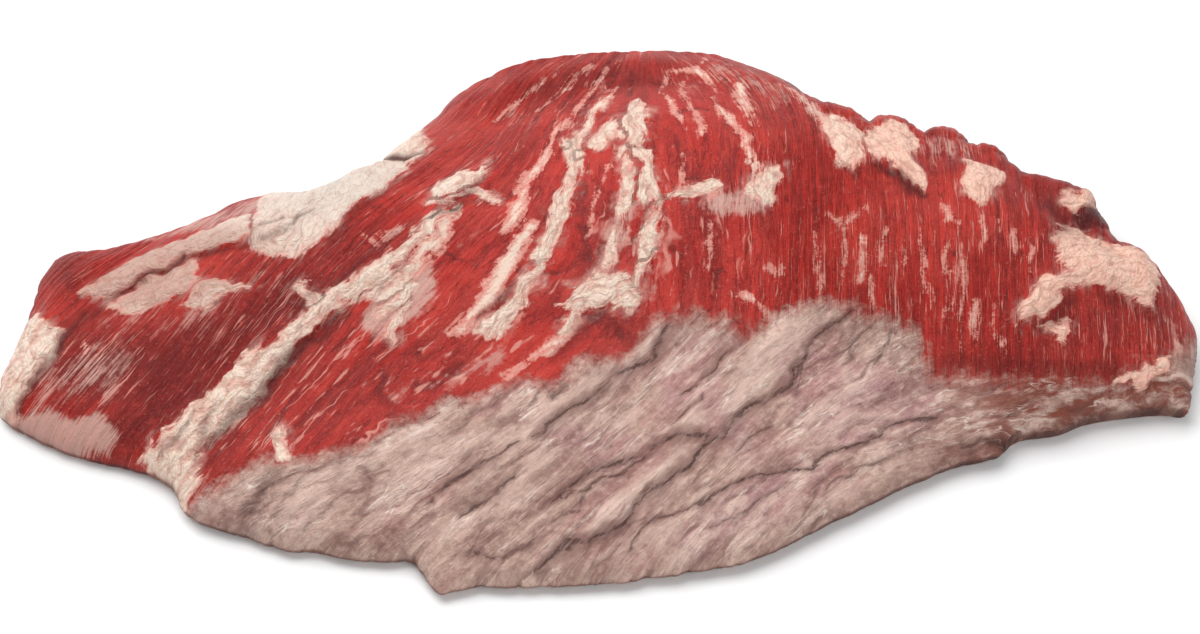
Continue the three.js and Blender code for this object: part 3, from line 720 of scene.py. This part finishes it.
def paint(x, y):
    """All fields at the given places of the drawing, by name."""
    fields = {}
    meat_u, meat_v = fields["grain"] = fibre_place(x, y)
    fold_u, fold_v = fields["wrinkle"] = fold_place(x, y)
    wander_x, wander_y = wander(x, x, y, (1, 2)), wander(y, x, y, (3, 4))
    feather = noise(meat_u / 1.5, meat_v / 13, 5)
    depth, fat_u, fat_v = fat_fields(wander_x, wander_y)
    fields["strand"] = fat_u, fat_v
    fields["dull"] = oval(x, y, *DULL_PADS)
    fields["calm"] = np.maximum(fields["dull"], oval(x, y, *CALM_LEFT_END))
    ragged = 1.2 * noise(fat_u / 1.5, fat_v / 9, 6) + 0.9 * round_noise(x, y, 2.4, 8)
    ragged *= 1 - CALMING * fields["calm"]
    fields["fat"] = depth + ragged + round_noise(x, y, 6, 7)
    uprights = [upright_stroke(*line) for line in UPRIGHTS]
    marbling = deepest([*MARBLING.values(), *uprights], wander_x, wander_y)
    fields["marbling"] = marbling + 0.9 * feather + 0.6 * round_noise(x, y, 2.5, 9)
    fields["blush"] = ease(x, *BLUSH_X)
    film = area_depth(SILVERSKIN, wander_x, wander_y)
    fields["film"] = np.clip(film, -12, 12) + 2.2 * feather
    # The deep field holds darker meat and painted shade.
    soft = {"veil": VEILS, "shadow": SHADOWS, "deep": DARK_MEAT_AND_SHADE, "rosy": ROSY_FILM}
    for name, features in soft.items():
        fields[name] = soft_cover(features.values(), wander_x, wander_y)
    fields["streaky"] = soft_cover(STREAKY.values(), x, y)
    bend = 4 * round_noise(x, y, 17, 21) + 1.5 * round_noise(x, y, 6, 27)
    bend_x, bend_y = wander_x + 0.3 * bend, wander_y - 0.3 * bend
    fields["crease"], fields["aside"] = crease_fields(bend_x, bend_y)
    fields["pale"] = ease(deepest(PALE_FOLDS.values(), wander_x, wander_y), -2.5, 2.5)
    fields["side"] = ease(x, *SIDE_FACE_X) * ease(y, *SIDE_FACE_Y)
    fields["white"] = oval(x, y, *WHITE_FRINGE)

    meat_swell, meat_groove = pillows(meat_u + 0.25 * bend, meat_v, *MEAT_BUNDLES, 22)
    fat_swell, _ = pillows(fat_u + 0.5 * bend, fat_v, *FAT_LOBES, 23)
    folds, film_groove = pillows(fold_u + bend, fold_v, *FILM_FOLDS, 24)
    wrinkles, _ = pillows(fold_u + 0.7 * bend, fold_v, *FILM_WRINKLES, 28)
    film_swell = mix(folds, wrinkles, WRINKLE_SHARE)
    fat_part, film_part = ease(fields["fat"], -0.5, 0.5), ease(fields["film"], -1, 3)
    fields["swell"] = mix(mix(meat_swell, film_swell, film_part), fat_swell, fat_part)
    fields["groove"] = mix(meat_groove, film_groove, film_part)
    return fields


def relief(x, y, fields):
    """How far the surface stands off the solid, in mm."""
    film = ease(fields["film"], -1, 5)
    fat = ease(fields["fat"], -0.4, 0.6)
    swell = mix(mix(MEAT_SWELL, FILM_SWELL, film), FAT_SWELL, fat) * (fields["swell"] - 0.5)
    height = BROAD_SWELL * round_noise(x, y, 22, 17) + swell + lump_height(x, y)
    height += FAT_RISE * fat - MOAT * bell((fields["fat"] + 1) / 0.8)
    height += MARBLING_RISE * ease(fields["marbling"], -0.3, 0.8) * (1 - fat)
    height += FINE_BUMPS * round_noise(x, y, 2, 14) * np.maximum(fat, film)
    height += PALE_RISE * fields["pale"] * film
    lift = FOLD_LIFT * bell((fields["aside"] - FOLD_LIFT_ASIDE) / FOLD_LIFT_ASIDE)
    return height + fields["crease"] * (lift - 1) - SHADOW_DEPTH * fields["shadow"]


def build_flap(node):
    points, under, sources, faces = flap_form(node)
    mesh = bpy.data.meshes.new("raw_sirloin_flap")
    mesh.from_pydata(points / MM, [], faces)
    mesh.update()
    normals = np.zeros(len(points) * 3)
    mesh.vertex_normals.foreach_get("vector", normals)
    x, y = (sources - DRAWING_SHIFT).T
    fields = paint(x, y)
    fields["under"] = under
    rise = relief(x, y, fields) * (1 - under)
    points += normals.reshape(-1, 3) * rise[:, None]
    points[:, 2] = np.maximum(points[:, 2], 0)
    mesh.vertices.foreach_set("co", (points / MM).ravel())
    for name, values in fields.items():
        if isinstance(values, tuple):
            layer = mesh.attributes.new(name, "FLOAT_VECTOR", "POINT")
            vectors = np.stack([*values, np.zeros(len(x))], 1)
            layer.data.foreach_set("vector", vectors.ravel())
        else:
            mesh.attributes.new(name, "FLOAT", "POINT").data.foreach_set("value", values)
    mesh.shade_smooth()
    mesh.update()
    flap = bpy.data.objects.new("raw_sirloin_flap", mesh)
    bpy.context.scene.collection.objects.link(flap)
    return flap


# ---- The material ----
class Graph:
    """Short calls for the shader nodes that a material is wired from. Each returns a socket."""

    def __init__(self, name):
        self.material = bpy.data.materials.new(name)
        self.material.use_nodes = True
        self.tree = self.material.node_tree
        self.tree.nodes.clear()

    def node(self, kind, inputs, **settings):
        node = self.tree.nodes.new(kind)
        for key, value in settings.items():
            setattr(node, key, value)
        for key, value in inputs.items():
            if isinstance(value, bpy.types.NodeSocket):
                self.tree.links.new(value, node.inputs[key])
            else:
                node.inputs[key].default_value = value
        return node

    def field(self, name, output="Fac"):
        return self.node("ShaderNodeAttribute", {}, attribute_name=name).outputs[output]

    def place(self):
        """The place on the part in mm."""
        place = self.node("ShaderNodeTexCoord", {}).outputs["Object"]
        return self.stretch(place, (MM, MM, MM))

    def math(self, operation, first, second=0.0, third=0.0):
        inputs = {0: first, 1: second, 2: third}
        return self.node("ShaderNodeMath", inputs, operation=operation).outputs[0]

    def add(self, first, second):
        return self.math("ADD", first, second)

    def part(self, value, share):
        return self.math("MULTIPLY", value, share)

    def most(self, first, second):
        return self.math("MAXIMUM", first, second)

    def weigh(self, *parts):
        """The sum of values, each times its share."""
        total = 0.0
        for value, share in parts:
            total = self.math("MULTIPLY_ADD", value, share, total)
        return total

    def centred(self, value, width):
        """A noise's 0 to 1 as half the width either side of nothing."""
        return self.math("MULTIPLY_ADD", value, width, -width / 2)

    def roughen(self, value, *noises):
        """A value moved up and down by noises, each over its width."""
        for noise, width in noises:
            value = self.add(value, self.centred(noise, width))
        return value

    def stretch(self, vector, factors):
        inputs = {0: vector, 1: factors}
        return self.node("ShaderNodeVectorMath", inputs, operation="MULTIPLY").outputs[0]

    def noise(self, vector, density, detail=2.0, roughness=0.5, distortion=0.0):
        """Noise with so many bumps to a mm along each axis."""
        inputs = {"Vector": self.stretch(vector, density), "Scale": 1.0, "Detail": detail,
                  "Roughness": roughness, "Distortion": distortion}
        return self.node("ShaderNodeTexNoise", inputs).outputs[0]

    def clumps(self, vector, density):
        """How far each place lies from the middle of its clump, with so many clumps to a mm."""
        inputs = {"Vector": self.stretch(vector, density), "Scale": 1.0}
        return self.node("ShaderNodeTexVoronoi", inputs, voronoi_dimensions="2D").outputs["Distance"]

    def warp(self, vector, spacing, reach):
        """A place pushed about by a noise with bumps that far apart, in mm."""
        inputs = {"Vector": self.place(), "Scale": 1 / spacing, "Detail": 2.0}
        push = self.node("ShaderNodeTexNoise", inputs).outputs["Color"]
        inputs = {0: push, 1: (2 * reach, 2 * reach, 0), 2: vector}
        return self.node("ShaderNodeVectorMath", inputs, operation="MULTIPLY_ADD").outputs[0]

    def step(self, value, low, high):
        inputs = {"Value": value, "From Min": low, "From Max": high}
        return self.node("ShaderNodeMapRange", inputs, interpolation_type="SMOOTHSTEP").outputs[0]

    def line(self, value, half_width):
        """1 where a value crosses nothing, down to 0 at the half width on both sides."""
        return self.step(self.math("ABSOLUTE", value), half_width, half_width / 4)

    def blend(self, part, first, second, how="MIX"):
        inputs = {0: part, 6: first, 7: second}
        return self.node("ShaderNodeMix", inputs, data_type="RGBA", blend_type=how).outputs[2]

    def tinted(self, colour, *layers):
        """A colour under tints, each laid on where its value rises from low to high."""
        for value, low, high, strength, tint in layers:
            colour = self.blend(self.part(self.step(value, low, high), strength), colour, tint)
        return colour


def srgb(red, green, blue):
    """A display colour, 0 to 255, as the linear one that shaders take."""
    def linear(value):
        value /= 255
        return value / 12.92 if value <= 0.04045 else ((value + 0.055) / 1.055) ** 2.4
    return (linear(red), linear(green), linear(blue), 1)


# Painted shade in the meat's grooves.
GROOVE_SHADE_RED = srgb(84, 10, 8)
DARK_RED = srgb(104, 10, 8)
DEEP_RED = srgb(134, 22, 16)
RED = srgb(172, 34, 25)
BRIGHT_RED = srgb(200, 62, 50)
# Pink of thin fat, and of painted wet glints on the meat.
PINK_FAT_AND_GLINT = srgb(218, 146, 132)
VEIL_PINK = srgb(204, 164, 152)
CREAM_FAT = srgb(238, 216, 198)
WHITE_FAT = srgb(220, 206, 194)
ROSY_FAT = srgb(220, 176, 160)
BLUSH_FAT = srgb(244, 188, 166)
DULL_FAT = srgb(200, 162, 148)
FAT_SHADE = srgb(176, 122, 106)
BEIGE_FILM = srgb(190, 156, 142)
LAVENDER_FILM = srgb(180, 138, 136)
PINK_FILM = srgb(180, 130, 124)
# Pale film, also painted light on fold ridges.
PALE_FILM_AND_LIGHT = srgb(222, 192, 178)
# Brown painted shade along creases.
CREASE_SHADE_BROWN = srgb(78, 50, 44)
# Darker film tone, also painted shade in grooves, valleys and beside creases.
FILM_DARK_AND_SHADE = srgb(120, 82, 76)
SIDE_BROWN = srgb(128, 66, 50)
GLINT = srgb(240, 222, 212)
SHADOW_TINT = srgb(84, 34, 28)
# Painted shade on steep sides.
EDGE_SHADE_TINT = srgb(150, 118, 108)


def red_meat(g, noises):
    """Colour and bumps of the meat: bundles of fibre, with thin fat and pale films on them."""
    grain, threads, grains = noises["grain"], noises["threads"], noises["grains"]
    patches, clouds, blots = noises["patches"], noises["clouds"], noises["blots"]
    fibres = g.noise(grain, (0.55, 0.025, 0), 4, 0.6, 0.3)
    colour = g.blend(g.step(fibres, 0.36, 0.6), DEEP_RED, RED)
    colour = g.tinted(colour, (threads, 0.5, 0.7, 0.6, BRIGHT_RED),
                      (threads, 0.45, 0.3, 0.5, DARK_RED), (clouds, 0.44, 0.62, 0.4, BRIGHT_RED))
    # Darker meat and painted shade, where the dark-meat strokes lie.
    colour = g.blend(g.part(g.field("deep"), 0.8), colour, DARK_RED)
    # Painted shade in the grooves between fibre bundles, and along thin lines between fibres.
    groove_shade = g.line(g.roughen(noises["groove"], (threads, 1.2)), 0.35)
    groove_shade = g.part(groove_shade, g.step(patches, 0.4, 0.6))
    groove_shade = g.most(groove_shade, g.part(g.line(g.centred(fibres, 1), 0.012), 0.7))
    colour = g.blend(g.part(groove_shade, 0.65), colour, GROOVE_SHADE_RED)
    # Random lighter and darker blots, and pale pink specks that are painted wet glints.
    colour = g.tinted(colour, (blots, 0.52, 0.68, 0.3, BRIGHT_RED),
                      (blots, 0.48, 0.3, 0.4, DARK_RED), (grains, 0.6, 0.74, 0.4, PINK_FAT_AND_GLINT))

    bent = g.warp(grain, 9, 1.2)
    veins = g.line(g.centred(g.noise(bent, (0.3, 0.014, 0)), 1), 0.016)
    breaks = g.noise(bent, (0.5, 0.07, 0), 3, 0.6)
    breaks = g.add(breaks, g.part(g.field("streaky"), 0.14))
    veins = g.part(veins, g.step(breaks, 0.54, 0.68))
    # Flecks that are partly thin fat and partly painted wet glints, laid on with the fat veins.
    flecks_and_glints = g.noise(grain, (2.0, 0.12, 0), 2, 0.6, 0.2)
    flecks_and_glints = g.step(g.weigh((flecks_and_glints, 1), (breaks, 0.5), (patches, 0.2)), 1.02, 1.12)
    colour = g.blend(g.part(g.most(veins, flecks_and_glints), 0.75), colour, PINK_FAT_AND_GLINT)
    patchy = g.roughen(g.field("veil"), (patches, 1.2), (blots, 0.8), (threads, 1.8))
    veiled = g.math("MINIMUM", g.step(patchy, 0.25, 0.8), g.part(g.field("veil"), 2))
    colour = g.blend(g.part(veiled, 0.8), colour, VEIL_PINK)
    marbling = g.roughen(g.field("marbling"), (threads, 5), (grains, 4))
    marbling_colour = g.blend(g.step(marbling, 0.6, 2.4), PINK_FAT_AND_GLINT, CREAM_FAT)
    marbled = g.step(g.roughen(marbling, (patches, 3)), -0.4, 0.6)
    colour = g.blend(g.part(marbled, 0.85), colour, marbling_colour)
    return colour, g.weigh((threads, 1), (grains, 0.7), (groove_shade, -0.15))


def silverskin(g, noises):
    """Colour and bumps of the film over the apron: soft folds with painted light and shade, mottling,
    and creases with painted brown shade.
    """
    wrinkle, grains, blots = g.field("wrinkle", "Vector"), noises["grains"], noises["blots"]
    sheets = g.noise(g.warp(wrinkle, 12, 2.5), (0.2, 0.055, 0), 4, 0.6)
    wrinkles = g.noise(g.warp(wrinkle, 6, 1.5), (0.55, 0.12, 0), 4, 0.65)
    threads = g.noise(wrinkle, (1.5, 0.14, 0), 3, 0.7, 0.5)
    sheens = g.noise(g.warp(wrinkle, 15, 5), (0.11, 0.05, 0), 3, 0.55)
    rosy = g.step(g.roughen(g.field("rosy"), (sheets, 1.2)), 0.1, 0.8)
    swell = g.roughen(g.field("swell"), (wrinkles, 0.9))
    rough = g.part(g.step(noises["patches"], 0.42, 0.6), 0.55)
    # The film's own tones and mottling; by its swell, fold ridges get painted light and valleys painted
    # shade.
    colour = g.tinted(
        g.blend(rosy, BEIGE_FILM, LAVENDER_FILM), (noises["clouds"], 0.5, 0.64, 0.6, PINK_FILM),
        (sheens, 0.5, 0.62, 0.6, PALE_FILM_AND_LIGHT), (sheens, 0.48, 0.36, 0.35, FILM_DARK_AND_SHADE),
        (swell, 0.55, 0.2, 0.5, FILM_DARK_AND_SHADE), (swell, 0.55, 0.9, 0.5, PALE_FILM_AND_LIGHT),
        (sheets, 0.5, 0.64, 0.4, PALE_FILM_AND_LIGHT),
        (blots, 0.5, 0.68, 0.4, PALE_FILM_AND_LIGHT), (blots, 0.5, 0.32, 0.4, FILM_DARK_AND_SHADE),
        (threads, 0.54, 0.7, rough, PALE_FILM_AND_LIGHT), (threads, 0.44, 0.28, rough, FILM_DARK_AND_SHADE))
    colour = g.blend(g.part(g.field("pale"), 0.5), colour, PALE_FILM_AND_LIGHT)
    mottled = g.weigh((wrinkles, 0.5), (sheets, 0.5))
    colour = g.tinted(colour, (mottled, 0.6, 0.45, g.field("side"), SIDE_BROWN))
    glints = g.line(g.centred(g.noise(g.warp(wrinkle, 8, 2), (0.3, 0.05, 0)), 1), 0.014)
    glints = g.part(glints, g.step(sheens, 0.46, 0.6))
    colour = g.blend(g.part(glints, 0.6), colour, GLINT)

    # Painted shade in the grooves between folds and along fine wrinkles.
    patchy = g.step(g.noise(noises["place"], (0.12, 0.12, 0.12), 3, 0.6), 0.42, 0.62)
    lines = g.part(g.line(g.roughen(noises["groove"], (grains, 1.6)), 0.9), patchy)
    lines = g.most(lines, g.part(g.line(g.centred(wrinkles, 1), 0.03), 0.4))
    colour = g.blend(g.part(lines, 0.5), colour, FILM_DARK_AND_SHADE)
    # Painted brown shade along the named creases: a soft halo and a darker line.
    crease = g.field("crease")
    crease_shade_line = g.line(g.roughen(g.field("aside"), (blots, 2.4)), 0.7)
    crease_shade_line = g.part(crease_shade_line, g.step(crease, 0.1, 0.7))
    crease_shade_line = g.part(crease_shade_line, g.step(g.add(wrinkles, threads), 0.85, 1.1))
    colour = g.tinted(colour, (crease, 0.05, 0.9, 0.6, FILM_DARK_AND_SHADE))
    colour = g.blend(g.part(crease_shade_line, 0.85), colour, CREASE_SHADE_BROWN)
    bumps = g.weigh((blots, 0.8), (grains, 0.6), (wrinkles, 1), (sheets, 1.6), (threads, 0.5),
                    (lines, -0.25), (crease_shade_line, -0.4))
    return colour, bumps


def fat_on_meat(g, noises):
    """Colour and bumps of the fat that stands on the meat, and the depth inside its ragged edge."""
    strand, white = g.field("strand", "Vector"), g.field("white")
    lobes = g.noise(g.warp(strand, 7, 1.5), (0.45, 0.14, 0), 4, 0.65)
    strands = g.noise(strand, (1.4, 0.13, 0), 3, 0.7, 0.3)
    clumps = g.clumps(g.warp(strand, 4, 1.5), (0.5, 0.28, 0))
    crumbs = g.clumps(g.warp(strand, 3, 1), (1.1, 0.8, 0))
    colour = g.blend(g.step(lobes, 0.36, 0.58), ROSY_FAT, CREAM_FAT)
    colour = g.blend(g.part(g.field("blush"), 0.6), colour, BLUSH_FAT)
    colour = g.blend(g.step(g.field("dull"), 0.1, 0.6), colour, DULL_FAT)
    colour = g.blend(white, colour, WHITE_FAT)
    shade = g.math("MULTIPLY_ADD", white, -0.35, 0.5)
    colour = g.tinted(colour, (clumps, 0.4, 0.8, shade, FAT_SHADE),
                      (crumbs, 0.4, 0.8, 0.25, FAT_SHADE), (strands, 0.44, 0.26, 0.4, FAT_SHADE))
    ragged = g.roughen(0.0, (lobes, 4), (strands, 3), (noises["grains"], 2))
    ragged = g.part(ragged, g.math("MULTIPLY_ADD", g.field("calm"), -CALMING, 1.0))
    depth = g.add(g.field("fat"), ragged)
    colour = g.tinted(colour, (depth, 1.8, -0.2, 0.6, PINK_FAT_AND_GLINT))
    bumps = g.weigh((lobes, 1), (strands, 0.8), (noises["grains"], 0.7), (clumps, -0.9),
                    (crumbs, -0.6))
    return colour, bumps, depth


def raw_beef():
    g = Graph("raw_beef_surface")
    grain, place = g.field("grain", "Vector"), g.place()
    noises = {
        "grain": grain, "place": place, "groove": g.field("groove"),
        "threads": g.noise(grain, (1.8, 0.09, 0), 3, 0.65, 0.3),
        "patches": g.noise(grain, (0.3, 0.1, 0), 3, 0.6),
        "clouds": g.noise(place, (0.045, 0.045, 0.045), 3),
        "grains": g.noise(place, (1.1, 1.1, 1.1), 3, 0.7),
        "blots": g.noise(place, (0.42, 0.42, 0.42), 5, 0.7, 0.3),
    }
    meat, meat_bumps = red_meat(g, noises)
    film, film_bumps = silverskin(g, noises)
    fat, fat_bumps, fat_depth = fat_on_meat(g, noises)
    covered = g.step(fat_depth, -0.6, 0.6)
    thin = g.part(g.step(fat_depth, -3, 0.5), g.step(noises["patches"], 0.44, 0.62))
    edge = g.roughen(g.field("film"), (noises["threads"], 4), (noises["blots"], 8))
    filmed = g.weigh((g.step(edge, -2, 1.5), 0.55), (g.step(edge, 0.5, 4.5), 0.45))

    below = g.roughen(noises["clouds"], (noises["threads"], 0.3))
    below = g.blend(g.step(below, 0.34, 0.6), meat, film)
    colour = g.blend(filmed, meat, film)
    colour = g.blend(g.part(thin, 0.55), colour, VEIL_PINK)
    colour = g.blend(covered, colour, fat)
    colour = g.blend(g.step(g.field("under"), 0.5, 1.0), colour, below)
    colour = g.blend(g.field("shadow"), colour, SHADOW_TINT, "MULTIPLY")
    # Painted shade on the steep and overhanging sides of the rim.
    normal = g.node("ShaderNodeNewGeometry", {}).outputs["Normal"]
    upright = g.node("ShaderNodeSeparateXYZ", {0: normal}).outputs[2]
    steep_shade = g.part(g.step(upright, 0.45, -0.1), g.step(upright, -0.95, -0.5))
    colour = g.blend(steep_shade, colour, EDGE_SHADE_TINT, "MULTIPLY")

    height = g.node("ShaderNodeMix", {0: filmed, 2: meat_bumps, 3: film_bumps}).outputs[0]
    height = g.node("ShaderNodeMix", {0: covered, 2: height, 3: fat_bumps}).outputs[0]
    bump = g.node("ShaderNodeBump", {"Height": height, "Strength": 0.8, "Distance": 0.0008})
    inputs = {"Value": noises["grains"], "To Min": 0.28, "To Max": 0.58}
    rough = g.node("ShaderNodeMapRange", inputs).outputs[0]
    surface = g.node("ShaderNodeBsdfPrincipled", {
        "Base Color": colour, "Roughness": rough, "Normal": bump.outputs[0], "IOR": 1.35,
        "Subsurface Weight": 0.12, "Subsurface Scale": 0.0015,
        "Subsurface Radius": (1.0, 0.35, 0.25)})
    g.node("ShaderNodeOutputMaterial", {"Surface": surface.outputs[0]})
    return g.material


# ---- Floor, light and camera: lengths in metres, the lens in millimetres ----
CAMERA_ELEVATION = math.radians(55)
CAMERA_DISTANCE = 1.004
CAMERA_LENS = 100
AIM = (0.0003, -0.0061, 0.012)
# Name, place, size across and power in watts.
LIGHTS = (("key", (-0.35, 0.5, 1.15), 1.5, 19), ("fill", (0.6, -0.9, 1.0), 1.2, 5))
STUDIO_LIGHT = 0.42
FLOOR_HALF = 3
FLOOR_SINK = 0.0003          # keeps the floor clear of the underside
FLOOR_WHITE = (0.92, 0.92, 0.92, 1)


def add_floor():
    mesh = bpy.data.meshes.new("floor")
    corners = [(-1, -1), (1, -1), (1, 1), (-1, 1)]
    mesh.from_pydata([(x * FLOOR_HALF, y * FLOOR_HALF, 0) for x, y in corners], [], [(0, 1, 2, 3)])
    floor = bpy.data.objects.new("floor", mesh)
    floor.location.z = -FLOOR_SINK
    bpy.context.scene.collection.objects.link(floor)
    g = Graph("pale_floor")
    surface = g.node("ShaderNodeBsdfPrincipled", {"Base Color": FLOOR_WHITE, "Roughness": 0.9})
    g.node("ShaderNodeOutputMaterial", {"Surface": surface.outputs[0]})
    mesh.materials.append(g.material)


def add_area_light(name, place, size, power):
    data = bpy.data.lights.new(name, "AREA")
    data.shape = "DISK"
    data.size = size
    data.energy = power
    light = bpy.data.objects.new(name, data)
    light.location = place
    light.rotation_euler = light.location.to_track_quat("Z", "Y").to_euler()
    bpy.context.scene.collection.objects.link(light)


def add_camera():
    data = bpy.data.cameras.new("camera")
    data.lens = CAMERA_LENS
    camera = bpy.data.objects.new("camera", data)
    reach, height = math.cos(CAMERA_ELEVATION), math.sin(CAMERA_ELEVATION)
    camera.location = (AIM[0], AIM[1] - CAMERA_DISTANCE * reach, AIM[2] + CAMERA_DISTANCE * height)
    camera.rotation_euler = (math.pi / 2 - CAMERA_ELEVATION, 0, 0)
    bpy.context.scene.collection.objects.link(camera)
    bpy.context.scene.camera = camera


flap = build_flap(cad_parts["sirloin_flap"])
flap.data.materials.append(raw_beef())
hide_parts("sirloin_flap")
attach(flap, "root")

add_floor()
for name, place, size, power in LIGHTS:
    add_area_light(name, place, size, power)
world = bpy.data.worlds.new("studio")
world.use_nodes = True
background = world.node_tree.nodes["Background"]
background.inputs["Color"].default_value = (1, 1, 1, 1)
background.inputs["Strength"].default_value = STUDIO_LIGHT
bpy.context.scene.world = world
bpy.context.scene.view_settings.view_transform = "Standard"
add_camera()
